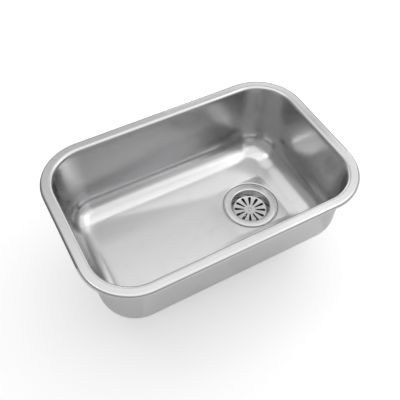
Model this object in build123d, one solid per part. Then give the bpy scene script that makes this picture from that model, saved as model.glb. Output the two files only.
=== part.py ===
from build123d import *
import os
from math import cos, radians, sin, tan

# Undermount kitchen sink with its strainer waste, in millimetres.
# Origin: centre of the rim at its top face. +Z is up, +X runs along the bowl towards the drain.

# Rim
rim_length = 560.0
rim_width = 365.0
rim_corner_radius = 98.5
flange_width = 23.0
rim_edge_radius = 5.5
rim_lip_height = 6.0
mouth_edge_radius = 7.3
sheet = 1.0

# Bowl
wall_lean_angle = 1.7
floor_fillet = 57.0
pad_depth = 177.0
drain_pad_margin = 2.75
drain_x = 125.5
long_facet_slope = 1.32
side_facet_slope = 7.8
short_facet_slope = 8.0
crease_radius = 100.0

# Drain recess and waste hole
recess_diameter = 117.5
recess_depth = 3.0
recess_edge_radius = 1.5
recess_corner_radius = 1.0
recess_land_width = 13.75

# Strainer
strainer_sheet = 0.8
strainer_flange_gap = 2.0
strainer_hole_gap = 2.45
strainer_cup_taper = 5.25
strainer_cup_depth = 16.5
strainer_edge_drop = 1.4
strainer_edge_radius = 1.1
strainer_lip_radius = 3.2
strainer_corner_radius = 2.0
slot_count = 12
slot_inner_radius = 12.4
slot_rim_margin = 4.3
slot_inner_width = 2.6
slot_outer_width = 5.8

# Clamping screw and its insert
screw_diameter = 6.0
screw_head_diameter = 9.0
screw_head_height = 2.6
screw_socket = 4.0
screw_socket_depth = 1.5
screw_hole_clearance = 0.3
screw_length = 30.0
insert_across_flats = 9.0
insert_length = 12.0
thread_clearance = 0.05

# Seals
strainer_seal_thickness = 1.2
under_seal_thickness = 3.0
under_seal_margin = 3.75
seal_lip_width = 1.2
seal_clearance = 0.2

# Waste body
body_flange_margin = 1.0
body_flange_thickness = 4.0
body_wall = 2.8
body_chamber_depth = 26.0
body_chamber_draft = 1.5
body_floor_drop = 5.0
gusset_count = 8
gusset_thickness = 2.4
gusset_height = 15.0
outlet_diameter = 47.8
outlet_bore = 40.0
outlet_length = 26.0
boss_diameter = 15.0
boss_wall = 1.5
web_count = 4
web_thickness = 2.6

# Sound-deadening pad
sound_pad_length = 200.0
sound_pad_width = 112.0
sound_pad_thickness = 2.5
sound_pad_corner = 18.0
sound_pad_edge_gap = 22.0

# Levels and sizes worked out from the values above
mouth_length = rim_length - 2 * flange_width
mouth_width = rim_width - 2 * flange_width
mouth_corner_radius = rim_corner_radius - flange_width
recess_radius = recess_diameter / 2
drain_pad = recess_diameter + 2 * drain_pad_margin
hole_radius = recess_radius - recess_land_width
recess_z = -pad_depth - recess_depth
underside_z = recess_z - sheet
flange_radius = recess_radius - strainer_flange_gap
cup_radius = hole_radius - strainer_hole_gap - strainer_sheet
plate_radius = cup_radius - strainer_cup_taper
slot_outer_radius = plate_radius - slot_rim_margin
strainer_top_z = recess_z + strainer_seal_thickness + strainer_sheet
plate_top_z = strainer_top_z - strainer_cup_depth
screw_end_z = plate_top_z - screw_length
body_top_z = underside_z - under_seal_thickness
under_seal_radius = recess_radius - under_seal_margin
body_flange_radius = under_seal_radius + body_flange_margin
body_radius = hole_radius - seal_lip_width
chamber_floor_z = body_top_z - body_chamber_depth
outlet_top_z = chamber_floor_z - body_floor_drop
outlet_end_z = outlet_top_z - outlet_length


def block(length, width, radius, bottom, top):
    """Upright block with rounded corners between two heights."""
    return Pos(0, 0, bottom) * extrude(RectangleRounded(length, width, radius), top - bottom)


def disc(radius, bottom, top):
    """Upright cylinder on the drain axis between two heights."""
    return Pos(drain_x, 0, bottom) * extrude(Circle(radius), top - bottom)


def turned(section):
    """Solid of revolution about the drain axis from a section in radius and height."""
    return Pos(drain_x, 0, 0) * revolve(Plane.XZ * section, Axis.Z)


def edges_at(shape, height, radius):
    """Circular edges of one radius about the drain axis at one height."""
    circles = shape.edges().filter_by(GeomType.CIRCLE)
    return [
        edge
        for edge in circles
        if abs(edge.radius - radius) < 0.01
        and abs(edge.arc_center.Z - height) < 0.01
        and abs(edge.arc_center.X - drain_x) < 0.01
    ]


def falling_floor(grow):
    """Everything above the drain pad and the four planes that fall towards it."""
    base_z = -pad_depth - grow
    rise = 1.2 * pad_depth
    half = drain_pad / 2
    left = drain_x - half - rise / tan(radians(long_facet_slope))
    right = drain_x + half + rise / tan(radians(short_facet_slope))
    side = half + rise / tan(radians(side_facet_slope))
    base = Pos(drain_x, 0, base_z) * Rectangle(drain_pad, drain_pad)
    top = Pos((left + right) / 2, 0, base_z + rise) * Rectangle(right - left, 2 * side)
    hopper = loft([base, top], ruled=True)
    creases = [edge for edge in hopper.edges() if edge.bounding_box().size.Z > rise / 2]
    return fillet(creases, crease_radius + grow)


def bowl_form(grow):
    """Space inside the bowl, or the bowl's outer form when grown by the sheet."""
    mouth = RectangleRounded(
        mouth_length + 2 * grow, mouth_width + 2 * grow, mouth_corner_radius + grow
    )
    walls = extrude(mouth, -(pad_depth + recess_depth + sheet), taper=wall_lean_angle)
    form = walls & falling_floor(grow)
    floor_edges = [
        edge
        for edge in form.edges()
        if edge.bounding_box().max.Z < -floor_fillet
        and (
            abs(edge.center().Y) > mouth_width / 2 - floor_fillet
            or abs(edge.center().X) > (mouth_length - floor_fillet) / 2
        )
    ]
    form = fillet(floor_edges, floor_fillet + grow)
    pad_z = -pad_depth - grow
    form = form + disc(recess_radius + grow, pad_z - recess_depth, pad_z + recess_depth)
    form = fillet(edges_at(form, pad_z - recess_depth, recess_radius + grow), recess_corner_radius + grow)
    return fillet(edges_at(form, pad_z, recess_radius + grow), recess_edge_radius - grow)


def make_bowl():
    """Pressed bowl: rim flange with a turned-down edge, walls, falling floor and drain recess."""
    outer_form = bowl_form(sheet)
    rim = block(rim_length, rim_width, rim_corner_radius, -rim_lip_height, 0)
    rim = fillet(rim.faces().sort_by(Axis.Z)[-1].edges(), rim_edge_radius)
    under_rim = block(
        rim_length - 2 * sheet,
        rim_width - 2 * sheet,
        rim_corner_radius - sheet,
        -2 * rim_lip_height,
        -sheet,
    )
    under_rim = fillet(under_rim.faces().sort_by(Axis.Z)[-1].edges(), rim_edge_radius - sheet)
    under_rim = under_rim - outer_form
    flange_root = under_rim.faces().sort_by(Axis.Z)[-1].inner_wires()[0].edges()
    under_rim = fillet(flange_root, mouth_edge_radius - sheet)
    bowl = rim + outer_form - under_rim - bowl_form(0)
    mouth_edges = bowl.faces().sort_by(Axis.Z)[-1].inner_wires()[0].edges()
    bowl = fillet(mouth_edges, mouth_edge_radius)
    return bowl - disc(hole_radius, underside_z - sheet, recess_z + sheet)


def make_sound_pad():
    """Sound-deadening pad stuck under the long facet of the floor."""
    slope = radians(long_facet_slope)
    facet_start = drain_x - drain_pad / 2
    run = sound_pad_edge_gap + sound_pad_length / 2
    centre = (facet_start - run, 0, -pad_depth - sheet + run * tan(slope))
    under_facet = Plane(origin=centre, x_dir=(cos(slope), 0, -sin(slope)), z_dir=(-sin(slope), 0, -cos(slope)))
    outline = RectangleRounded(sound_pad_length, sound_pad_width, sound_pad_corner)
    return under_facet * extrude(outline, sound_pad_thickness)


def slot_outline():
    """One tapered slot of the grid with round ends, along +X."""
    inner = slot_inner_width / 2
    outer = slot_outer_width / 2
    ends = Pos(slot_inner_radius + inner, 0) * Circle(inner)
    ends += Pos(slot_outer_radius - outer, 0) * Circle(outer)
    return make_hull(ends.edges())


def make_strainer():
    """Pressed strainer: rolled edge, flat flange, tapered cup and slotted grid."""
    top_line = FilletPolyline(
        (flange_radius, strainer_top_z - strainer_edge_drop),
        (flange_radius, strainer_top_z),
        (cup_radius, strainer_top_z),
        (plate_radius, plate_top_z),
        (0, plate_top_z),
        radius=[strainer_edge_radius, strainer_lip_radius, strainer_corner_radius],
    )
    outline = offset(top_line, strainer_sheet, side=Side.LEFT, closed=True)
    strainer = turned(make_face(outline.edges()))
    plate_z = plate_top_z - 2 * strainer_sheet
    slots = Sketch() + PolarLocations(0, slot_count) * slot_outline()
    slots = Pos(drain_x, 0, plate_z) * extrude(slots, 3 * strainer_sheet)
    hole = disc(screw_diameter / 2 + screw_hole_clearance, plate_z, plate_top_z + strainer_sheet)
    return strainer - slots - hole


def make_screw():
    """Domed clamping screw with a hexagon socket; its head rests on the grid."""
    head_top = plate_top_z + screw_head_height
    head = disc(screw_head_diameter / 2, plate_top_z, head_top)
    head = fillet(head.faces().sort_by(Axis.Z)[-1].edges(), screw_head_height * 0.6)
    socket = extrude(RegularPolygon(screw_socket / 2, 6, major_radius=False), screw_socket_depth)
    shank = disc(screw_diameter / 2, screw_end_z, plate_top_z)
    shank = chamfer(shank.faces().sort_by(Axis.Z)[0].edges(), screw_diameter / 8)
    return head + shank - Pos(drain_x, 0, head_top - screw_socket_depth) * socket


def make_insert():
    """Hexagon brass insert at the end of the screw."""
    body = extrude(RegularPolygon(insert_across_flats / 2, 6, major_radius=False), insert_length)
    return Pos(drain_x, 0, screw_end_z) * body - disc(
        screw_diameter / 2 + thread_clearance, screw_end_z, screw_end_z + insert_length
    )


def make_strainer_seal():
    """Flat rubber ring between the strainer flange and the recess."""
    outer = flange_radius - strainer_edge_radius - seal_clearance
    top = recess_z + strainer_seal_thickness
    return disc(outer, recess_z, top) - disc(hole_radius + seal_clearance, recess_z, top)


def make_under_seal():
    """Rubber ring under the recess with a lip that centres it in the waste hole."""
    ring = disc(under_seal_radius, body_top_z, underside_z)
    ring = chamfer(ring.faces().sort_by(Axis.Z)[0].edges(), under_seal_thickness / 4)
    ring += disc(hole_radius - seal_clearance, underside_z, recess_z)
    return ring - disc(body_radius, body_top_z, recess_z)


def body_shell():
    """Turned form of the waste body: flange, chamber, cone and outlet."""
    bore = outlet_bore / 2
    outlet = outlet_diameter / 2
    low_radius = body_radius - body_chamber_draft
    points = [
        (bore, outlet_end_z),
        (outlet, outlet_end_z),
        (outlet, outlet_top_z - body_wall),
        (low_radius + body_wall, chamber_floor_z - body_wall),
        (body_radius + body_wall, body_top_z - body_flange_thickness),
        (body_flange_radius, body_top_z - body_flange_thickness),
        (body_flange_radius, body_top_z),
        (body_radius, body_top_z),
        (low_radius, chamber_floor_z),
        (bore, outlet_top_z),
    ]
    section = make_face(Polyline(*points, close=True))
    low_corner = section.vertices().sort_by_distance((low_radius + body_wall, chamber_floor_z - body_wall))[0]
    section = fillet(low_corner, 1.5 * body_wall)
    inner_corner = section.vertices().sort_by_distance((low_radius, chamber_floor_z))[0]
    section = fillet(inner_corner, body_wall)
    return turned(section)


def gussets():
    """Ribs between the body's flange and the outside of its chamber."""
    flange_under = body_top_z - body_flange_thickness
    points = [
        (body_radius, flange_under),
        (body_flange_radius - body_wall / 2, flange_under),
        (body_radius + body_wall / 2, flange_under - gusset_height),
        (body_radius, flange_under - gusset_height),
    ]
    rib = extrude(Plane.XZ * make_face(Polyline(*points, close=True)), gusset_thickness / 2, both=True)
    return Pos(drain_x, 0, 0) * (Part() + PolarLocations(0, gusset_count) * rib)


def spider():
    """Screw boss on radial webs in the mouth of the outlet, with a pocket for the insert."""
    bottom = screw_end_z - boss_wall
    top = screw_end_z + insert_length + boss_wall
    web_length = outlet_bore / 2 + body_wall / 2
    web = Pos(web_length / 2, 0, bottom) * Box(
        web_length, web_thickness, outlet_top_z - bottom, align=(Align.CENTER, Align.CENTER, Align.MIN)
    )
    webs = Pos(drain_x, 0, 0) * (Part() + PolarLocations(0, web_count) * web)
    return webs + disc(boss_diameter / 2, bottom, top)


def make_body():
    """Moulded waste body with its gussets and spider."""
    body = body_shell() + gussets() + spider()
    pocket = extrude(RegularPolygon(insert_across_flats / 2, 6, major_radius=False), insert_length)
    screw_way = disc(
        screw_diameter / 2 + screw_hole_clearance, screw_end_z - 2 * boss_wall, plate_top_z
    )
    return body - Pos(drain_x, 0, screw_end_z) * pocket - screw_way


nodes = {
    "bowl": make_bowl(),
    "sound_pad": make_sound_pad(),
    "strainer": make_strainer(),
    "strainer_screw": make_screw(),
    "strainer_seal": make_strainer_seal(),
    "under_seal": make_under_seal(),
    "waste_body": make_body(),
    "brass_insert": make_insert(),
}

os.makedirs("parts", exist_ok=True)
for name, shape in nodes.items():
    export_step(shape, f"parts/{name}.step")
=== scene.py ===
import math

import bpy
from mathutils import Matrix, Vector


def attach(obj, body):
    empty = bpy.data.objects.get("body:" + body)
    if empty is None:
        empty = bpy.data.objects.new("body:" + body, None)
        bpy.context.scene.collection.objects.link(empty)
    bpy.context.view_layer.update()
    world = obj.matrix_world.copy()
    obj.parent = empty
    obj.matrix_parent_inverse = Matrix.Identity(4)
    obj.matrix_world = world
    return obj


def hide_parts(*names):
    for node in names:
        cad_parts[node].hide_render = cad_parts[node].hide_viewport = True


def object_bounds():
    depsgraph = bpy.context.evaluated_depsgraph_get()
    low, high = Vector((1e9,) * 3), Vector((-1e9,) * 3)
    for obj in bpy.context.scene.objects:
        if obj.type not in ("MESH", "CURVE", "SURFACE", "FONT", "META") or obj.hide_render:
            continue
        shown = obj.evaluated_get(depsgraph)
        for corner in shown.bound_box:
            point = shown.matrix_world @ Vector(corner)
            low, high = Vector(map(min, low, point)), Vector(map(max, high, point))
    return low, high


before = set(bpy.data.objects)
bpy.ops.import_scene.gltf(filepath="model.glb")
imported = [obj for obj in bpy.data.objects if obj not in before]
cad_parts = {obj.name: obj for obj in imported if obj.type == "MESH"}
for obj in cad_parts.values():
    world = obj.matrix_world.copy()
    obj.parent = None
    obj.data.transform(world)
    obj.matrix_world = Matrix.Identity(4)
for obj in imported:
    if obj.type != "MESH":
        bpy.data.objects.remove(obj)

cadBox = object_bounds()
mm = 0.001
print("frame loaded")


def deselectAll():
    if bpy.context.mode != "OBJECT":
        bpy.ops.object.mode_set(mode="OBJECT")
    bpy.ops.object.select_all(action="DESELECT")


def makeActive(piece):
    deselectAll()
    piece.select_set(True)
    bpy.context.view_layer.objects.active = piece


def applyModifiers(piece):
    makeActive(piece)
    for modifier in list(piece.modifiers):
        bpy.ops.object.modifier_apply(modifier=modifier.name)


# bowl, sizes in millimetres
bowlForm = {
    "rimLength": 560.0,
    "rimWidth": 365.0,
    "rimCorner": 98.5,
    "flange": 23.0,
    "rimEdge": 5.5,
    "rimLip": 6.0,
    "mouthEdge": 7.3,
    "sheet": 1.0,
    "lean": 1.7,
    "floorFillet": 57.0,
    "padDepth": 177.0,
    "padHalf": 61.5,
    "drainX": 125.5,
    "longSlope": 1.32,
    "sideSlope": 7.8,
    "shortSlope": 8.0,
    "creaseBlend": 1.0,
    "padBlend": 0.12,
    "recessRadius": 58.75,
    "recessDepth": 3.0,
    "recessEdge": 2.7,
    "recessCorner": 0.3,
    "holeRadius": 45.0,
    "edgeCuts": 10,
    "flangeCuts": 6,
    "wallCuts": 11,
    "filletCuts": 30,
    "floorCuts": 46,
    "filletTurns": 12,
    "slopeTurns": 3,
    "slopeStep": 0.5,
    "recessEdgeCuts": 6,
    "recessCornerCuts": 5,
    "recessRings": (0.35, 0.7, 1.0),
    "weld": 0.01,
    "smoothAngle": 40,
}


def softMax(a, b, blend):
    h = min(max(0.5 + 0.5 * (a - b) / blend, 0.0), 1.0)
    return b + (a - b) * h + blend * h * (1 - h)


def floorHeight(x, y):
    f = bowlForm
    level = -f["padDepth"]
    left = level + (f["drainX"] - f["padHalf"] - x) * math.tan(math.radians(f["longSlope"]))
    right = level + (x - f["drainX"] - f["padHalf"]) * math.tan(math.radians(f["shortSlope"]))
    side = level + (abs(y) - f["padHalf"]) * math.tan(math.radians(f["sideSlope"]))
    ends = max(left, right)
    facets = softMax(ends, side, f["creaseBlend"])
    return softMax(facets, level, f["padBlend"])


def mouthStations(longCuts=30, shortCuts=16, cornerCuts=24):
    # points of the mouth's outline with their inward direction, once round
    f = bowlForm
    halfX = f["rimLength"] / 2 - f["rimCorner"]
    halfY = f["rimWidth"] / 2 - f["rimCorner"]
    radius = f["rimCorner"] - f["flange"]
    stations = []
    corners = ((halfX, halfY, 0), (-halfX, halfY, 90), (-halfX, -halfY, 180), (halfX, -halfY, 270))
    for number, (cornerX, cornerY, start) in enumerate(corners):
        for step in range(cornerCuts):
            angle = math.radians(start + 90 * step / cornerCuts)
            out = Vector((math.cos(angle), math.sin(angle)))
            stations.append((Vector((cornerX, cornerY)) + out * radius, -out))
        nextX, nextY, nextStart = corners[(number + 1) % 4]
        angle = math.radians(start + 90)
        out = Vector((math.cos(angle), math.sin(angle)))
        begin = Vector((cornerX, cornerY)) + out * radius
        end = Vector((nextX, nextY)) + out * radius
        cuts = longCuts if number % 2 == 0 else shortCuts
        for step in range(cuts):
            stations.append((begin.lerp(end, step / cuts), -out))
    return stations


def arcPoints(centreIn, centreUp, radius, start, end, cuts):
    points = []
    for step in range(cuts + 1):
        angle = math.radians(start + (end - start) * step / cuts)
        points.append((centreIn + radius * math.cos(angle), centreUp + radius * math.sin(angle)))
    return points


def stationProfile(base, inward):
    # section through the sheet's upper face at one station, as inward distance and height
    f = bowlForm
    lean = math.radians(f["lean"])
    flange = f["flange"]
    edge = f["rimEdge"]
    mouth = f["mouthEdge"]
    radius = f["floorFillet"]
    points = [(-flange, -f["rimLip"]), (-flange, -(f["rimLip"] + edge) / 2)]
    points += arcPoints(edge - flange, -edge, edge, 180, 90, f["edgeCuts"])
    mouthIn = mouth * math.tan(lean) - mouth / math.cos(lean)
    for step in range(f["flangeCuts"]):
        share = (step + 1) / (f["flangeCuts"] + 1)
        points.append(((edge - flange) * (1 - share) + mouthIn * share, 0.0))
    points += arcPoints(mouthIn, -mouth, mouth, 90, f["lean"], f["edgeCuts"])
    # the fillet rests on the wall and the floor, so its centre is found in a few turns
    centreUp = -2 * radius
    for turn in range(f["filletTurns"]):
        centreIn = radius / math.cos(lean) - centreUp * math.tan(lean)
        slope = 0.0
        for again in range(f["slopeTurns"]):
            endIn = centreIn - radius * math.sin(slope)
            here = base + inward * endIn
            ahead = base + inward * (endIn + f["slopeStep"])
            drop = floorHeight(here.x, here.y) - floorHeight(ahead.x, ahead.y)
            slope = math.atan2(drop, f["slopeStep"])
        centreUp = floorHeight(here.x, here.y) + radius * math.cos(slope)
    topIn, topUp = points[-1]
    end = 270 - math.degrees(slope)
    fillet = arcPoints(centreIn, centreUp, radius, 180 + f["lean"], end, f["filletCuts"])
    footIn, footUp = fillet[0]
    for step in range(f["wallCuts"]):
        share = (step + 1) / (f["wallCuts"] + 1)
        points.append((topIn * (1 - share) + footIn * share, topUp * (1 - share) + footUp * share))
    return points + fillet


def drainProfile():
    # radius and height from the pad over the recess edge to the waste hole
    f = bowlForm
    level = -f["padDepth"]
    edge = f["recessEdge"]
    corner = f["recessCorner"]
    radius = f["recessRadius"]
    bottom = level - f["recessDepth"]
    points = arcPoints(radius + edge, level - edge, edge, 90, 180, f["recessEdgeCuts"])
    points += arcPoints(radius - corner, bottom + corner, corner, 0, -90, f["recessCornerCuts"])
    for share in f["recessRings"]:
        points.append(((radius - corner) * (1 - share) + f["holeRadius"] * share, bottom))
    return points


def bowlRings():
    f = bowlForm
    drain = Vector((f["drainX"], 0))
    drop = drainProfile()
    inner = drop[0][0]
    columns = []
    for base, inward in mouthStations():
        column = []
        for inwardBy, height in stationProfile(base, inward):
            spot = base + inward * inwardBy
            column.append((spot.x, spot.y, height))
        foot = Vector(column[-1][:2])
        ray = (foot - drain).normalized()
        outer = (foot - drain).length
        for step in range(1, f["floorCuts"]):
            reach = outer + (inner - outer) * step / f["floorCuts"]
            spot = drain + ray * reach
            column.append((spot.x, spot.y, floorHeight(spot.x, spot.y)))
        for reach, height in drop:
            spot = drain + ray * reach
            column.append((spot.x, spot.y, height))
        columns.append(column)
    columns.append(columns[0])
    return columns


def makeBowl():
    # the fillet runs into four falling facets, which no primitive's rings can follow,
    # so a grid is laid on rings that are worked out above and then given its thickness
    columns = bowlRings()
    across = len(columns)
    down = len(columns[0])
    deselectAll()
    bpy.ops.mesh.primitive_grid_add(x_subdivisions=across - 1, y_subdivisions=down - 1, size=1)
    bowl = bpy.context.active_object
    bowl.name = "bowlSheet"
    for vertex in bowl.data.vertices:
        column = round((vertex.co.x + 0.5) * (across - 1))
        row = round((vertex.co.y + 0.5) * (down - 1))
        vertex.co = Vector(columns[column][row]) * mm
    bpy.ops.object.mode_set(mode="EDIT")
    bpy.ops.mesh.select_all(action="SELECT")
    bpy.ops.mesh.remove_doubles(threshold=bowlForm["weld"] * mm)
    bpy.ops.mesh.normals_make_consistent(inside=False)
    bpy.ops.object.mode_set(mode="OBJECT")
    up = sum(face.normal.z * face.area for face in bowl.data.polygons)
    if up < 0:
        bpy.ops.object.mode_set(mode="EDIT")
        bpy.ops.mesh.flip_normals()
        bpy.ops.object.mode_set(mode="OBJECT")
    wall = bowl.modifiers.new("sheet", "SOLIDIFY")
    wall.thickness = bowlForm["sheet"] * mm
    wall.offset = -1
    wall.use_even_offset = True
    wall.use_quality_normals = True
    applyModifiers(bowl)
    makeActive(bowl)
    bpy.ops.object.shade_smooth_by_angle(angle=math.radians(bowlForm["smoothAngle"]))
    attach(bowl, "root")
    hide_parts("bowl")
    print("bowl made:", len(bowl.data.polygons), "faces")
    return bowl


bowl = makeBowl()


def copyNode(node, name, weld=0.002):
    # a merged copy of a part's loose triangles, for pieces that get more detail
    piece = bpy.data.objects.new(name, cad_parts[node].data.copy())
    bpy.context.scene.collection.objects.link(piece)
    makeActive(piece)
    bpy.ops.object.mode_set(mode="EDIT")
    bpy.ops.mesh.select_all(action="SELECT")
    bpy.ops.mesh.remove_doubles(threshold=weld * mm)
    bpy.ops.mesh.customdata_custom_splitnormals_clear()
    bpy.ops.mesh.select_all(action="DESELECT")
    bpy.ops.object.mode_set(mode="OBJECT")
    return piece


# outlet thread, sizes in millimetres
threadForm = {
    "drainX": 125.5,
    "outletRadius": 23.9,
    "outletTop": -217.8,
    "outletEnd": -241.0,
    "plainEnd": 1.5,
    "depth": 1.4,
    "pitch": 2.309,
    "turns": 8,
    "crest": 0.25,
    "root": 1.0,
    "stepsPerTurn": 72,
    "sunk": 0.15,
    "fade": 0.4,
    "tolerance": 0.05,
    "topMargin": 0.1,
    "uprightLimit": 0.1,
    "smoothAngle": 35,
}


def makeWasteBody():
    # the moulded body with its outlet turned down to the root of the thread
    f = threadForm
    body = copyNode("waste_body", "wasteBodySkin")
    outlet = f["outletRadius"] * mm
    for face in body.data.polygons:
        corners = [body.data.vertices[index].co for index in face.vertices]
        reaches = [math.hypot(corner.x - f["drainX"] * mm, corner.y) for corner in corners]
        onWall = all(abs(reach - outlet) < f["tolerance"] * mm for reach in reaches)
        upright = abs(face.normal.z) < f["uprightLimit"]
        low = all(corner.z < (f["outletTop"] + f["topMargin"]) * mm for corner in corners)
        face.select = onWall and upright and low
    bpy.ops.object.mode_set(mode="EDIT")
    bpy.ops.mesh.inset(thickness=f["plainEnd"] * mm, use_even_offset=True)
    sunken = {"value": -f["depth"] * mm}
    bpy.ops.mesh.extrude_region_shrink_fatten(TRANSFORM_OT_shrink_fatten=sunken)
    bpy.ops.object.mode_set(mode="OBJECT")
    bpy.ops.object.shade_smooth_by_angle(angle=math.radians(f["smoothAngle"]))
    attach(body, "root")
    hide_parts("waste_body")
    return body


def makeOutletThread():
    # one ridge wound round the outlet by a Screw modifier, thinned out at both ends
    f = threadForm
    core = f["outletRadius"] - f["depth"]
    sunk = core - f["sunk"]
    start = f["outletEnd"] + f["plainEnd"] + f["root"]
    deselectAll()
    bpy.ops.mesh.primitive_plane_add(size=1)
    ridge = bpy.context.active_object
    ridge.name = "outletThread"
    section = {
        (-1, -1): (sunk, -f["root"]),
        (1, -1): (f["outletRadius"], -f["crest"]),
        (1, 1): (f["outletRadius"], f["crest"]),
        (-1, 1): (sunk, f["root"]),
    }
    for vertex in ridge.data.vertices:
        corner = (1 if vertex.co.x > 0 else -1, 1 if vertex.co.y > 0 else -1)
        reach, height = section[corner]
        vertex.co = Vector((reach, 0, start + height)) * mm
    bpy.ops.object.mode_set(mode="EDIT")
    bpy.ops.mesh.select_all(action="SELECT")
    bpy.ops.mesh.delete(type="ONLY_FACE")
    bpy.ops.object.mode_set(mode="OBJECT")
    winding = ridge.modifiers.new("winding", "SCREW")
    winding.axis = "Z"
    winding.angle = math.radians(360)
    winding.screw_offset = f["pitch"] * mm
    winding.iterations = f["turns"]
    winding.steps = f["stepsPerTurn"]
    winding.render_steps = f["stepsPerTurn"]
    applyModifiers(ridge)
    bpy.ops.object.mode_set(mode="EDIT")
    bpy.ops.mesh.select_all(action="DESELECT")
    bpy.ops.mesh.select_non_manifold(
        extend=False, use_wire=False, use_boundary=True, use_multi_face=False
    )
    bpy.ops.mesh.edge_face_add()
    bpy.ops.mesh.select_all(action="SELECT")
    bpy.ops.mesh.normals_make_consistent(inside=False)
    bpy.ops.object.mode_set(mode="OBJECT")
    low = start * mm
    high = low + f["turns"] * f["pitch"] * mm
    fade = f["pitch"] * mm * f["fade"]
    for vertex in ridge.data.vertices:
        turned = math.atan2(vertex.co.y, vertex.co.x)
        reach = math.hypot(vertex.co.x, vertex.co.y)
        nearest = min(vertex.co.z - low, high - vertex.co.z)
        share = min(1.0, max(0.0, nearest / fade))
        reach = sunk * mm + (reach - sunk * mm) * share
        vertex.co.x = reach * math.cos(turned) + f["drainX"] * mm
        vertex.co.y = reach * math.sin(turned)
    makeActive(ridge)
    bpy.ops.object.shade_smooth_by_angle(angle=math.radians(f["smoothAngle"]))
    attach(ridge, "root")
    return ridge


wasteBody = makeWasteBody()
outletThread = makeOutletThread()
print("waste body made:", len(wasteBody.data.polygons), "faces")
print("thread made:", len(outletThread.data.polygons), "faces")


# strainer, sizes in millimetres; its section lists radius, height and corner radius from the
# rolled edge inwards
strainerForm = {
    "drainX": 125.5,
    "section": (
        (56.75, -179.4, 0),
        (56.75, -178.0, 1.1),
        (41.75, -178.0, 3.2),
        (36.5, -194.5, 2.0),
        (3.3, -194.5, 0),
    ),
    "sheet": 0.8,
    "spinSteps": 216,
    "slots": 12,
    "slotInner": 12.4,
    "slotOuter": 34.4,
    "slotInnerWidth": 2.6,
    "slotOuterWidth": 6.6,
    "slotEndCuts": 12,
    "punchAbove": 2.0,
    "punchLength": 5.0,
    "weld": 0.005,
    "smoothAngle": 30,
}


def roundedLine(points, cuts=8):
    # a line of (along, up, radius) corners with each corner rounded by its radius
    line = [Vector(points[0][:2])]
    for before, corner, after in zip(points, points[1:], points[2:]):
        here = Vector(corner[:2])
        back = (Vector(before[:2]) - here).normalized()
        ahead = (Vector(after[:2]) - here).normalized()
        half = math.acos(max(-1.0, min(1.0, back.dot(ahead)))) / 2
        centre = here + (back + ahead).normalized() * corner[2] / math.sin(half)
        start = here + back * corner[2] / math.tan(half) - centre
        end = here + ahead * corner[2] / math.tan(half) - centre
        swing = start.angle_signed(end)
        for step in range(cuts + 1):
            angle = -swing * step / cuts
            turned = Vector(
                (
                    start.x * math.cos(angle) - start.y * math.sin(angle),
                    start.x * math.sin(angle) + start.y * math.cos(angle),
                )
            )
            line.append(centre + turned)
    line.append(Vector(points[-1][:2]))
    return line


def makeStrainerSlots():
    # one tapered slot with round ends, repeated round the grid
    f = strainerForm
    inner = f["slotInnerWidth"] / 2
    outer = f["slotOuterWidth"] / 2
    near = f["slotInner"] + inner
    far = f["slotOuter"] - outer
    tilt = math.degrees(math.asin((outer - inner) / (far - near)))
    outline = arcPoints(far, 0, outer, -90 - tilt, 90 + tilt, f["slotEndCuts"])
    outline += arcPoints(near, 0, inner, 90 + tilt, 270 - tilt, f["slotEndCuts"])
    deselectAll()
    bpy.ops.mesh.primitive_circle_add(vertices=len(outline), fill_type="NGON")
    slots = bpy.context.active_object
    slots.name = "strainerSlots"
    height = f["section"][-1][1] + f["punchAbove"]
    for vertex, (along, side) in zip(slots.data.vertices, outline):
        vertex.co = Vector((f["drainX"] + along, side, height)) * mm
    drain = (f["drainX"] * mm, 0, 0)
    bpy.ops.object.mode_set(mode="EDIT")
    bpy.ops.mesh.select_all(action="SELECT")
    punched = {"value": (0, 0, -f["punchLength"] * mm)}
    bpy.ops.mesh.extrude_region_move(TRANSFORM_OT_translate=punched)
    bpy.ops.mesh.select_all(action="SELECT")
    copies = f["slots"] - 1
    swing = 2 * math.pi * copies / f["slots"]
    bpy.ops.mesh.spin(steps=copies, angle=swing, dupli=True, center=drain, axis=(0, 0, 1))
    bpy.ops.mesh.select_all(action="SELECT")
    bpy.ops.mesh.normals_make_consistent(inside=False)
    bpy.ops.object.mode_set(mode="OBJECT")
    return slots


def makeStrainer():
    f = strainerForm
    top = roundedLine(f["section"])
    under = []
    for number, point in enumerate(top):
        before = top[max(number - 1, 0)]
        after = top[min(number + 1, len(top) - 1)]
        along = (after - before).normalized()
        under.append(point + Vector((-along.y, along.x)) * f["sheet"])
    loop = top + under[::-1]
    deselectAll()
    bpy.ops.mesh.primitive_circle_add(vertices=len(loop))
    strainer = bpy.context.active_object
    strainer.name = "strainerSheet"
    for vertex, point in zip(strainer.data.vertices, loop):
        vertex.co = Vector((f["drainX"] + point.x, 0, point.y)) * mm
    drain = (f["drainX"] * mm, 0, 0)
    bpy.ops.object.mode_set(mode="EDIT")
    bpy.ops.mesh.select_all(action="SELECT")
    bpy.ops.mesh.spin(steps=f["spinSteps"], angle=2 * math.pi, center=drain, axis=(0, 0, 1))
    bpy.ops.mesh.select_all(action="SELECT")
    bpy.ops.mesh.remove_doubles(threshold=f["weld"] * mm)
    bpy.ops.mesh.normals_make_consistent(inside=False)
    bpy.ops.object.mode_set(mode="OBJECT")
    slots = makeStrainerSlots()
    punch = strainer.modifiers.new("punch", "BOOLEAN")
    punch.operation = "DIFFERENCE"
    punch.solver = "EXACT"
    punch.object = slots
    applyModifiers(strainer)
    bpy.data.objects.remove(slots)
    makeActive(strainer)
    bpy.ops.object.shade_smooth_by_angle(angle=math.radians(f["smoothAngle"]))
    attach(strainer, "root")
    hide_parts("strainer")
    print("strainer made:", len(strainer.data.polygons), "faces")
    return strainer


strainer = makeStrainer()


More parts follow.
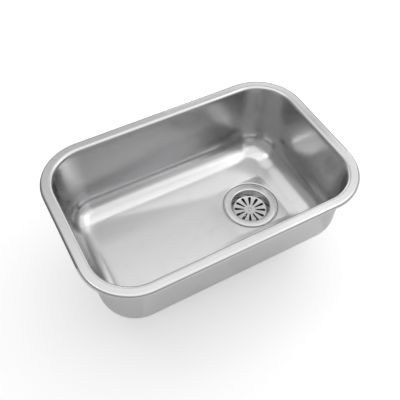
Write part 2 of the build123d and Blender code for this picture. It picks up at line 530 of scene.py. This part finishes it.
# helpers for materials
def newGroup(name, inputs, outputs):
    group = bpy.data.node_groups.new(name, "ShaderNodeTree")
    for socketName, socketType, value in inputs:
        socket = group.interface.new_socket(
            name=socketName, in_out="INPUT", socket_type=socketType
        )
        if value is not None:
            socket.default_value = value
    for socketName, socketType in outputs:
        group.interface.new_socket(name=socketName, in_out="OUTPUT", socket_type=socketType)
    source = group.nodes.new("NodeGroupInput").outputs
    target = group.nodes.new("NodeGroupOutput").inputs
    return group, group.nodes, group.links, source, target


def newMaterial(name):
    material = bpy.data.materials.new(name)
    material.use_nodes = True
    nodes = material.node_tree.nodes
    nodes.clear()
    shader = nodes.new("ShaderNodeBsdfPrincipled")
    output = nodes.new("ShaderNodeOutputMaterial")
    material.node_tree.links.new(shader.outputs["BSDF"], output.inputs["Surface"])
    return material, nodes, material.node_tree.links, shader


def giveMaterial(piece, material):
    piece.data.materials.clear()
    piece.data.materials.append(material)


def stretched(nodes, links, source, scale, turn=(0, 0, 0)):
    mapping = nodes.new("ShaderNodeMapping")
    mapping.inputs["Scale"].default_value = scale
    mapping.inputs["Rotation"].default_value = [math.radians(angle) for angle in turn]
    links.new(source, mapping.inputs["Vector"])
    return mapping.outputs["Vector"]


def noise(nodes, links, source, scale, detail=2.0, roughness=0.5):
    texture = nodes.new("ShaderNodeTexNoise")
    texture.inputs["Scale"].default_value = scale
    texture.inputs["Detail"].default_value = detail
    texture.inputs["Roughness"].default_value = roughness
    links.new(source, texture.inputs["Vector"])
    return texture.outputs["Fac"]


def setOrLink(links, socket, value):
    if isinstance(value, (int, float)):
        socket.default_value = value
    else:
        links.new(value, socket)


def ranged(nodes, links, source, low, high, toLow=0.0, toHigh=1.0):
    node = nodes.new("ShaderNodeMapRange")
    limits = {"From Min": low, "From Max": high, "To Min": toLow, "To Max": toHigh}
    for socket, value in limits.items():
        setOrLink(links, node.inputs[socket], value)
    links.new(source, node.inputs["Value"])
    return node.outputs["Result"]


def combined(nodes, links, operation, first, second):
    node = nodes.new("ShaderNodeMath")
    node.operation = operation
    setOrLink(links, node.inputs[0], first)
    setOrLink(links, node.inputs[1], second)
    return node.outputs[0]


def blended(nodes, links, first, second, share):
    # the first by its share, and the second by the rest
    part = combined(nodes, links, "MULTIPLY", first, share)
    rest = combined(nodes, links, "MULTIPLY", second, 1 - share)
    return combined(nodes, links, "ADD", part, rest)


def tint(nodes, links, shader, mask, first, second):
    node = nodes.new("ShaderNodeMix")
    node.data_type = "RGBA"
    node.inputs["A"].default_value = first
    node.inputs["B"].default_value = second
    links.new(mask, node.inputs["Factor"])
    links.new(node.outputs["Result"], shader.inputs["Base Color"])


def placed(nodes, links, group, position, **values):
    node = nodes.new("ShaderNodeGroup")
    node.node_tree = group
    links.new(position, node.inputs["Position"])
    for name, value in values.items():
        node.inputs[name].default_value = value
    return node.outputs


def between(look):
    return {"Smoothest": look["smoothest"], "Roughest": look["roughest"]}


def bump(nodes, links, height, distance, normal=None):
    node = nodes.new("ShaderNodeBump")
    node.inputs["Strength"].default_value = 1.0
    node.inputs["Distance"].default_value = distance
    links.new(height, node.inputs["Height"])
    if normal is not None:
        links.new(normal, node.inputs["Normal"])
    return node.outputs["Normal"]


def onPiece(nodes, links, centre=(0, 0, 0)):
    # Object coordinates in metres, shifted so that the pattern is centred on the piece
    coordinates = nodes.new("ShaderNodeTexCoord")
    mapping = nodes.new("ShaderNodeMapping")
    mapping.inputs["Location"].default_value = [-part for part in centre]
    links.new(coordinates.outputs["Object"], mapping.inputs["Vector"])
    return mapping.outputs["Vector"]


# sockets that more than one group has
placeSocket = ("Position", "NodeSocketVector", None)
rangeSockets = (
    ("Smoothest", "NodeSocketFloat", 0.15),
    ("Roughest", "NodeSocketFloat", 0.25),
)
heightSocket = ("Height", "NodeSocketFloat")
grainOutputs = (("Roughness", "NodeSocketFloat"), heightSocket)


# satin grain: a fine frosting with short brush streaks along the piece
satinGrainForm = {
    "frostScale": 1500,
    "streakScale": (40, 1400, 1400),
    "patchScale": 16,
    "frostShare": 0.35,
    "fineShare": 0.45,
    "contrast": (0.32, 0.68),
}


def makeSatinGrain():
    form = satinGrainForm
    inputs = (placeSocket, *rangeSockets)
    group, nodes, links, source, target = newGroup("satinGrain", inputs, grainOutputs)
    place = source["Position"]
    along = stretched(nodes, links, place, form["streakScale"])
    frost = noise(nodes, links, place, form["frostScale"], detail=3)
    streaks = noise(nodes, links, along, 1, detail=4)
    patches = noise(nodes, links, place, form["patchScale"], detail=4, roughness=0.6)
    fine = blended(nodes, links, frost, streaks, form["frostShare"])
    mixed = blended(nodes, links, fine, patches, form["fineShare"])
    limits = (source["Smoothest"], source["Roughest"])
    links.new(ranged(nodes, links, mixed, *form["contrast"], *limits), target["Roughness"])
    links.new(fine, target["Height"])
    return group


# press waves: the slight unevenness that drawing leaves in sheet steel
pressWavesForm = {"detail": 1.5, "roughness": 0.35}


def makePressWaves():
    form = pressWavesForm
    inputs = (placeSocket, ("Fineness", "NodeSocketFloat", 16.0))
    group, nodes, links, source, target = newGroup("pressWaves", inputs, (heightSocket,))
    waves = nodes.new("ShaderNodeTexNoise")
    waves.inputs["Detail"].default_value = form["detail"]
    waves.inputs["Roughness"].default_value = form["roughness"]
    links.new(source["Position"], waves.inputs["Vector"])
    links.new(source["Fineness"], waves.inputs["Scale"])
    links.new(waves.outputs["Fac"], target["Height"])
    return group


# hair scratches: sparse fine lines in two directions, from washing up and handling
hairScratchesForm = {
    "scale": (18, 2600, 2600),
    "turns": ((12, 8, 24), (5, -16, 118)),
    "softness": 0.06,
}


def makeHairScratches():
    form = hairScratchesForm
    inputs = (placeSocket, ("Rarity", "NodeSocketFloat", 0.7))
    outputs = (("Mask", "NodeSocketFloat"),)
    group, nodes, links, source, target = newGroup("hairScratches", inputs, outputs)
    deepest = combined(nodes, links, "ADD", source["Rarity"], form["softness"])
    masks = []
    for turn in form["turns"]:
        along = stretched(nodes, links, source["Position"], form["scale"], turn)
        lines = noise(nodes, links, along, 1, detail=2)
        masks.append(ranged(nodes, links, lines, source["Rarity"], deepest))
    links.new(combined(nodes, links, "MAXIMUM", *masks), target["Mask"])
    return group


# handling marks: soft smudges and dried water spots
handlingMarksForm = {
    "smudgeScale": 34,
    "smudgeSoftness": 0.2,
    "spotScale": 150,
    "spotEdge": (0.12, 0.2),
    "spotPatchScale": 60,
    "spotPatchEdge": (0.56, 0.66),
}


def makeHandlingMarks():
    form = handlingMarksForm
    inputs = (placeSocket, ("Rarity", "NodeSocketFloat", 0.55))
    outputs = (("Smudge", "NodeSocketFloat"), ("Spots", "NodeSocketFloat"))
    group, nodes, links, source, target = newGroup("handlingMarks", inputs, outputs)
    place = source["Position"]
    most = combined(nodes, links, "ADD", source["Rarity"], form["smudgeSoftness"])
    smudge = noise(nodes, links, place, form["smudgeScale"], detail=6, roughness=0.62)
    links.new(ranged(nodes, links, smudge, source["Rarity"], most), target["Smudge"])
    cells = nodes.new("ShaderNodeTexVoronoi")
    cells.inputs["Scale"].default_value = form["spotScale"]
    links.new(place, cells.inputs["Vector"])
    ring = ranged(nodes, links, cells.outputs["Distance"], *form["spotEdge"], 1.0, 0.0)
    patches = noise(nodes, links, place, form["spotPatchScale"], detail=2)
    rare = ranged(nodes, links, patches, *form["spotPatchEdge"])
    links.new(combined(nodes, links, "MULTIPLY", ring, rare), target["Spots"])
    return group


# turned lines: rings about the drain axis, as a lathe or a spinning pad leaves them
turnedLinesForm = {
    "ringScale": 2400,
    "patchScale": 70,
    "ringShare": 0.6,
    "contrast": (0.32, 0.68),
}


def makeTurnedLines():
    form = turnedLinesForm
    inputs = (placeSocket, *rangeSockets)
    group, nodes, links, source, target = newGroup("turnedLines", inputs, grainOutputs)
    parts = nodes.new("ShaderNodeSeparateXYZ")
    links.new(source["Position"], parts.inputs["Vector"])
    x, y = parts.outputs["X"], parts.outputs["Y"]
    squareX = combined(nodes, links, "MULTIPLY", x, x)
    squareY = combined(nodes, links, "MULTIPLY", y, y)
    radius = nodes.new("ShaderNodeMath")
    radius.operation = "SQRT"
    links.new(combined(nodes, links, "ADD", squareX, squareY), radius.inputs[0])
    place = nodes.new("ShaderNodeCombineXYZ")
    links.new(radius.outputs[0], place.inputs["X"])
    links.new(parts.outputs["Z"], place.inputs["Z"])
    rings = noise(nodes, links, place.outputs["Vector"], form["ringScale"], detail=3)
    patches = noise(nodes, links, source["Position"], form["patchScale"], detail=4)
    mixed = blended(nodes, links, rings, patches, form["ringShare"])
    limits = (source["Smoothest"], source["Roughest"])
    links.new(ranged(nodes, links, mixed, *form["contrast"], *limits), target["Roughness"])
    links.new(rings, target["Height"])
    return group


# mould grain: the fine pebbled skin of moulded rubber and plastic
mouldGrainForm = {"patchScale": 45, "contrast": (0.35, 0.65)}


def makeMouldGrain():
    form = mouldGrainForm
    inputs = (placeSocket, ("Fineness", "NodeSocketFloat", 1300.0), *rangeSockets)
    group, nodes, links, source, target = newGroup("mouldGrain", inputs, grainOutputs)
    cells = nodes.new("ShaderNodeTexVoronoi")
    cells.feature = "SMOOTH_F1"
    links.new(source["Position"], cells.inputs["Vector"])
    links.new(source["Fineness"], cells.inputs["Scale"])
    place = source["Position"]
    patches = noise(nodes, links, place, form["patchScale"], detail=5, roughness=0.6)
    limits = (source["Smoothest"], source["Roughest"])
    links.new(ranged(nodes, links, patches, *form["contrast"], *limits), target["Roughness"])
    links.new(cells.outputs["Distance"], target["Height"])
    return group


satinGrain = makeSatinGrain()
pressWaves = makePressWaves()
hairScratches = makeHairScratches()
handlingMarks = makeHandlingMarks()
turnedLines = makeTurnedLines()
mouldGrain = makeMouldGrain()

drainAxis = (bowlForm["drainX"] * mm, 0.0, 0.0)


# bowl steel
bowlSteelLook = {
    "colour": (0.62, 0.62, 0.625, 1),
    "smudgeColour": (0.6, 0.6, 0.602, 1),
    "smudgeRarity": 0.52,
    "scratchRarity": 0.73,
    "smoothest": 0.16,
    "roughest": 0.24,
    "smudgeRoughness": 0.04,
    "scratchRoughness": 0.08,
    "waveFineness": 15.0,
    "waveDepth": 0.00006,
    "grainDepth": 0.0000005,
    "scratchDepth": 0.0000006,
}


def makeBowlSteel():
    look = bowlSteelLook
    material, nodes, links, shader = newMaterial("bowlSteel")
    shader.inputs["Metallic"].default_value = 1.0
    place = onPiece(nodes, links)
    grain = placed(nodes, links, satinGrain, place, **between(look))
    waves = placed(nodes, links, pressWaves, place, Fineness=look["waveFineness"])
    scratches = placed(nodes, links, hairScratches, place, Rarity=look["scratchRarity"])
    marks = placed(nodes, links, handlingMarks, place, Rarity=look["smudgeRarity"])
    tint(nodes, links, shader, marks["Smudge"], look["colour"], look["smudgeColour"])
    rough = grain["Roughness"]
    for mask, added in (
        (marks["Smudge"], look["smudgeRoughness"]),
        (scratches["Mask"], look["scratchRoughness"]),
        (marks["Spots"], look["smudgeRoughness"]),
    ):
        more = combined(nodes, links, "MULTIPLY", mask, added)
        rough = combined(nodes, links, "ADD", rough, more)
    links.new(rough, shader.inputs["Roughness"])
    waved = bump(nodes, links, waves["Height"], look["waveDepth"])
    grained = bump(nodes, links, grain["Height"], look["grainDepth"], waved)
    cut = combined(nodes, links, "MULTIPLY", scratches["Mask"], -1.0)
    scratched = bump(nodes, links, cut, look["scratchDepth"], grained)
    links.new(scratched, shader.inputs["Normal"])
    return material


# strainer and screw steel
strainerSteelLook = {
    "colour": (0.64, 0.64, 0.645, 1),
    "smudgeColour": (0.6, 0.6, 0.6, 1),
    "smudgeRarity": 0.5,
    "scratchRarity": 0.7,
    "smoothest": 0.15,
    "roughest": 0.25,
    "scratchRoughness": 0.1,
    "lineDepth": 0.000002,
}
screwSteelLook = {
    "colour": (0.66, 0.66, 0.665, 1),
    "smudgeColour": (0.6, 0.6, 0.6, 1),
    "smudgeRarity": 0.5,
    "scratchRarity": 0.7,
    "smoothest": 0.12,
    "roughest": 0.2,
    "scratchRoughness": 0.1,
    "lineDepth": 0.000003,
}


def makeTurnedSteel(name, look):
    material, nodes, links, shader = newMaterial(name)
    shader.inputs["Metallic"].default_value = 1.0
    place = onPiece(nodes, links, drainAxis)
    lines = placed(nodes, links, turnedLines, place, **between(look))
    scratches = placed(nodes, links, hairScratches, place, Rarity=look["scratchRarity"])
    marks = placed(nodes, links, handlingMarks, place, Rarity=look["smudgeRarity"])
    tint(nodes, links, shader, marks["Smudge"], look["colour"], look["smudgeColour"])
    more = combined(nodes, links, "MULTIPLY", scratches["Mask"], look["scratchRoughness"])
    rough = combined(nodes, links, "ADD", lines["Roughness"], more)
    links.new(rough, shader.inputs["Roughness"])
    links.new(bump(nodes, links, lines["Height"], look["lineDepth"]), shader.inputs["Normal"])
    return material


# seals, black rubber with a pale bloom
sealRubberLook = {
    "colour": (0.04, 0.04, 0.04, 1),
    "bloomColour": (0.085, 0.085, 0.083, 1),
    "bloomRarity": 0.48,
    "smoothest": 0.55,
    "roughest": 0.75,
    "grainFineness": 1100.0,
    "grainDepth": 0.00004,
}


def makeSealRubber():
    look = sealRubberLook
    material, nodes, links, shader = newMaterial("sealRubber")
    place = onPiece(nodes, links, drainAxis)
    fineness = look["grainFineness"]
    grain = placed(nodes, links, mouldGrain, place, Fineness=fineness, **between(look))
    marks = placed(nodes, links, handlingMarks, place, Rarity=look["bloomRarity"])
    tint(nodes, links, shader, marks["Smudge"], look["colour"], look["bloomColour"])
    links.new(grain["Roughness"], shader.inputs["Roughness"])
    links.new(bump(nodes, links, grain["Height"], look["grainDepth"]), shader.inputs["Normal"])
    return material


# waste body, black polypropylene with a fine grain and pale scuffs
bodyPlasticLook = {
    "colour": (0.045, 0.045, 0.047, 1),
    "scuffColour": (0.1, 0.1, 0.1, 1),
    "scuffRarity": 0.6,
    "scuffStrength": 0.4,
    "scratchRarity": 0.69,
    "smoothest": 0.36,
    "roughest": 0.5,
    "grainFineness": 1500.0,
    "grainDepth": 0.00003,
}


def makeBodyPlastic():
    look = bodyPlasticLook
    material, nodes, links, shader = newMaterial("bodyPlastic")
    place = onPiece(nodes, links, drainAxis)
    fineness = look["grainFineness"]
    grain = placed(nodes, links, mouldGrain, place, Fineness=fineness, **between(look))
    scratches = placed(nodes, links, hairScratches, place, Rarity=look["scratchRarity"])
    marks = placed(nodes, links, handlingMarks, place, Rarity=look["scuffRarity"])
    pale = combined(nodes, links, "MULTIPLY", marks["Smudge"], look["scuffStrength"])
    worn = combined(nodes, links, "MAXIMUM", pale, scratches["Mask"])
    tint(nodes, links, shader, worn, look["colour"], look["scuffColour"])
    links.new(grain["Roughness"], shader.inputs["Roughness"])
    links.new(bump(nodes, links, grain["Height"], look["grainDepth"]), shader.inputs["Normal"])
    return material


# brass insert, machined and a little tarnished
insertBrassLook = {
    "colour": (0.78, 0.6, 0.3, 1),
    "tarnishColour": (0.52, 0.37, 0.17, 1),
    "tarnishRarity": 0.46,
    "smoothest": 0.2,
    "roughest": 0.34,
    "lineDepth": 0.000004,
}


def makeInsertBrass():
    look = insertBrassLook
    material, nodes, links, shader = newMaterial("insertBrass")
    shader.inputs["Metallic"].default_value = 1.0
    place = onPiece(nodes, links, drainAxis)
    lines = placed(nodes, links, turnedLines, place, **between(look))
    marks = placed(nodes, links, handlingMarks, place, Rarity=look["tarnishRarity"])
    tint(nodes, links, shader, marks["Smudge"], look["colour"], look["tarnishColour"])
    links.new(lines["Roughness"], shader.inputs["Roughness"])
    links.new(bump(nodes, links, lines["Height"], look["lineDepth"]), shader.inputs["Normal"])
    return material


# sound pad, dark filled sheet with mineral specks
dampingPadLook = {
    "colour": (0.1, 0.1, 0.1, 1),
    "speckColour": (0.24, 0.24, 0.23, 1),
    "speckScale": 700,
    "speckEdge": (0.58, 0.72),
    "smoothest": 0.7,
    "roughest": 0.9,
    "grainFineness": 520.0,
    "grainDepth": 0.00009,
    "waveFineness": 38.0,
    "waveDepth": 0.0003,
}


def makeDampingPad():
    look = dampingPadLook
    material, nodes, links, shader = newMaterial("dampingPad")
    place = onPiece(nodes, links)
    fineness = look["grainFineness"]
    grain = placed(nodes, links, mouldGrain, place, Fineness=fineness, **between(look))
    waves = placed(nodes, links, pressWaves, place, Fineness=look["waveFineness"])
    minerals = noise(nodes, links, place, look["speckScale"], detail=3, roughness=0.7)
    specks = ranged(nodes, links, minerals, *look["speckEdge"])
    tint(nodes, links, shader, specks, look["colour"], look["speckColour"])
    links.new(grain["Roughness"], shader.inputs["Roughness"])
    waved = bump(nodes, links, waves["Height"], look["waveDepth"])
    grained = bump(nodes, links, grain["Height"], look["grainDepth"], waved)
    links.new(grained, shader.inputs["Normal"])
    return material


bowlSteel = makeBowlSteel()
strainerSteel = makeTurnedSteel("strainerSteel", strainerSteelLook)
screwSteel = makeTurnedSteel("screwSteel", screwSteelLook)
sealRubber = makeSealRubber()
bodyPlastic = makeBodyPlastic()
insertBrass = makeInsertBrass()
dampingPad = makeDampingPad()
giveMaterial(bowl, bowlSteel)
giveMaterial(strainer, strainerSteel)
giveMaterial(wasteBody, bodyPlastic)
giveMaterial(outletThread, bodyPlastic)
carried = {
    "strainer_screw": screwSteel,
    "strainer_seal": sealRubber,
    "under_seal": sealRubber,
    "brass_insert": insertBrass,
    "sound_pad": dampingPad,
}
for name, material in carried.items():
    giveMaterial(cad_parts[name], material)
print("materials made")


# studio, the boxes give their place, what they face, their size and their brightness
studio = {
    "floorSize": 40.0,
    "floorColour": (0.73, 0.73, 0.73, 1),
    "floorGlow": 0.42,
    "worldLevel": 0.45,
    "boxes": {
        "ceilingBox": ((0.0, 0.0, 1.6), (0.0, 0.0, 0.0), 2.4, 2.0, 0.2),
        "frontCeilingBox": ((0.5, -0.5, 1.64), (0.5, -0.5, 0.0), 2.4, 2.0, 0.55),
        "backCeilingBox": ((0.0, 0.6, 1.68), (0.0, 0.6, 0.0), 2.4, 1.6, 0.2),
        "rightBox": ((1.2, 0.0, 1.1), (0.0, 0.0, -0.1), 1.5, 1.1, 0.66),
        "frontRightBox": ((0.85, -0.85, 1.1), (0.0, 0.0, -0.1), 1.5, 1.1, 0.28),
        "backRightBox": ((1.11, 1.11, 0.54), (0.0, 0.0, -0.1), 1.5, 1.1, 0.78),
        "highBackBox": ((0.0, 0.8, 1.4), (0.0, 0.0, -0.1), 1.5, 1.1, 0.32),
        "leftLamp": ((-0.8, 0.42, 1.52), (0.0, 0.0, -0.1), 0.42, 0.42, 1.6),
        "lowBackBox": ((0.0, 1.58, 0.54), (0.0, 0.0, -0.1), 1.5, 1.1, 0.56),
    },
    # dark strips round the back and the left, seen only in reflections, paint a dark reflection
    # along the rounded edge of the rim, sizes in millimetres
    "strips": {
        "backStrip": {"left": False, "gap": 12.0, "low": -22.0, "high": 6.5, "shade": 0.04},
        "leftStrip": {"left": True, "gap": 12.0, "low": -22.0, "high": 6.5, "shade": 0.3},
    },
    "stripOverlap": 0.1,
    # pale cards on the floor, seen only in reflections, paint the front wall's reflection and light
    # nothing; place, what they face, size and shade
    "cards": {
        "frontCard": ((0.0, -0.62, -0.239), (0.0, -0.62, 1.0), 1.6, 0.8, 0.92),
        "nearLeftCard": ((-0.09, -0.3, -0.2385), (-0.09, -0.3, 1.0), 0.24, 0.5, 1.0),
        "nearRightCard": ((0.15, -0.3, -0.2385), (0.15, -0.3, 1.0), 0.24, 0.5, 0.95),
        "leftCard": ((-0.66, -0.05, -0.238), (-0.66, -0.05, 1.0), 0.9, 1.0, 0.9),
        "rightCard": ((0.69, 0.05, -0.238), (0.69, 0.05, 1.0), 0.84, 0.74, 0.8),
    },
}


def addFloor():
    deselectAll()
    bpy.ops.mesh.primitive_plane_add(size=studio["floorSize"], location=(0, 0, cadBox[0][2]))
    floor = bpy.context.active_object
    floor.name = "studioFloor"
    material, nodes, links, shader = newMaterial("floorPaint")
    shader.inputs["Base Color"].default_value = studio["floorColour"]
    shader.inputs["Roughness"].default_value = 1.0
    shader.inputs["Emission Color"].default_value = (1, 1, 1, 1)
    # the glow reaches the camera, metal and glass, so it lights nothing
    path = nodes.new("ShaderNodeLightPath").outputs
    seen = combined(nodes, links, "MAXIMUM", path["Is Camera Ray"], path["Is Glossy Ray"])
    seen = combined(nodes, links, "MAXIMUM", seen, path["Is Transmission Ray"])
    glow = combined(nodes, links, "MULTIPLY", seen, studio["floorGlow"])
    links.new(glow, shader.inputs["Emission Strength"])
    giveMaterial(floor, material)


def addWorld():
    world = bpy.data.worlds.new("studioWorld")
    bpy.context.scene.world = world
    world.use_nodes = True
    nodes, links = world.node_tree.nodes, world.node_tree.links
    background = nodes["Background"]
    background.inputs["Color"].default_value = (1, 1, 1, 1)
    # the camera sees white, and the level lights the rest
    seen = nodes.new("ShaderNodeLightPath").outputs["Is Camera Ray"]
    level = combined(nodes, links, "MAXIMUM", seen, studio["worldLevel"])
    links.new(level, background.inputs["Strength"])


def addBoxes():
    for name, (place, aim, sizeX, sizeY, level) in studio["boxes"].items():
        light = bpy.data.lights.new(name, "AREA")
        light.shape = "RECTANGLE"
        light.size = sizeX
        light.size_y = sizeY
        light.energy = level * math.pi * sizeX * sizeY
        lamp = bpy.data.objects.new(name, light)
        bpy.context.scene.collection.objects.link(lamp)
        lamp.location = place
        lamp.rotation_euler = (Vector(aim) - Vector(place)).to_track_quat("-Z", "Y").to_euler()


def onlyReflected(card, shade):
    # the shade is a painted reflection: the piece is hidden from the camera, from diffuse light and
    # from shadows, so it shows only in reflections on the metal
    material, nodes, links, shader = newMaterial(card.name + "Paint")
    shader.inputs["Base Color"].default_value = (shade, shade, shade, 1)
    shader.inputs["Roughness"].default_value = 1.0
    giveMaterial(card, material)
    card.visible_camera = False
    card.visible_diffuse = False
    card.visible_shadow = False


def addStrips():
    edge = bowlForm["rimLength"] / 2 - bowlForm["rimCorner"]
    front = bowlForm["rimCorner"] - bowlForm["rimWidth"] / 2
    past = -studio["stripOverlap"]
    for name, strip in studio["strips"].items():
        # each strip follows the rim, and both start at the station where they meet
        reach = bowlForm["flange"] + strip["gap"]
        line = [base - inward * reach for base, inward in mouthStations()]
        side = -1 if strip["left"] else 1
        line = [spot for spot in line if spot.y > front and (spot.x + edge) * side > past]
        split = max(range(len(line)), key=lambda index: (line[index] - line[index - 1]).length)
        line = line[split:] + line[:split]
        deselectAll()
        bpy.ops.mesh.primitive_grid_add(x_subdivisions=len(line) - 1, y_subdivisions=1, size=1)
        card = bpy.context.active_object
        card.name = name
        for vertex in card.data.vertices:
            spot = line[round((vertex.co.x + 0.5) * (len(line) - 1))]
            height = strip["high"] if vertex.co.y > 0 else strip["low"]
            vertex.co = Vector((spot.x, spot.y, height)) * mm
        # the strip's shade is a painted dark reflection on the rim's rounded edge
        onlyReflected(card, strip["shade"])


def addCards():
    for name, (place, aim, sizeX, sizeY, shade) in studio["cards"].items():
        deselectAll()
        bpy.ops.mesh.primitive_plane_add(size=1, location=place)
        card = bpy.context.active_object
        card.name = name
        card.scale = (sizeX, sizeY, 1)
        card.rotation_euler = (Vector(aim) - Vector(place)).to_track_quat("Z", "Y").to_euler()
        # the card's shade is a painted reflection on the bowl's outer walls
        onlyReflected(card, shade)


addFloor()
addWorld()
addBoxes()
addStrips()
addCards()
print("studio made")


# camera, fitted to the photograph's outlines
view = {
    "azimuth": -30.018,
    "elevation": 52.766,
    "roll": 1.645,
    "distance": 1.05989,
    "aim": (-0.02155, -0.03376, -0.03041),
    "focalShare": 569.02 / 400,
    "sensorWidth": 36,
    "nearest": 0.05,
    "farthest": 50,
}


def addCamera():
    azimuth = math.radians(view["azimuth"])
    elevation = math.radians(view["elevation"])
    roll = math.radians(view["roll"])
    back = Vector(
        (
            math.sin(azimuth) * math.cos(elevation),
            -math.cos(azimuth) * math.cos(elevation),
            math.sin(elevation),
        )
    )
    level = Vector((math.cos(azimuth), math.sin(azimuth), 0))
    above = back.cross(level)
    right = level * math.cos(roll) + above * math.sin(roll)
    up = above * math.cos(roll) - level * math.sin(roll)
    data = bpy.data.cameras.new("photoCamera")
    data.sensor_width = view["sensorWidth"]
    data.sensor_fit = "HORIZONTAL"
    data.lens = view["sensorWidth"] * view["focalShare"]
    data.clip_start = view["nearest"]
    data.clip_end = view["farthest"]
    camera = bpy.data.objects.new("photoCamera", data)
    bpy.context.scene.collection.objects.link(camera)
    place = Vector(view["aim"]) + back * view["distance"]
    matrix = camera.matrix_world.copy()
    for row in range(3):
        matrix[row][0] = right[row]
        matrix[row][1] = up[row]
        matrix[row][2] = back[row]
        matrix[row][3] = place[row]
    camera.matrix_world = matrix
    bpy.context.scene.camera = camera


addCamera()
bpy.context.scene.view_settings.view_transform = "Standard"
print("camera set")
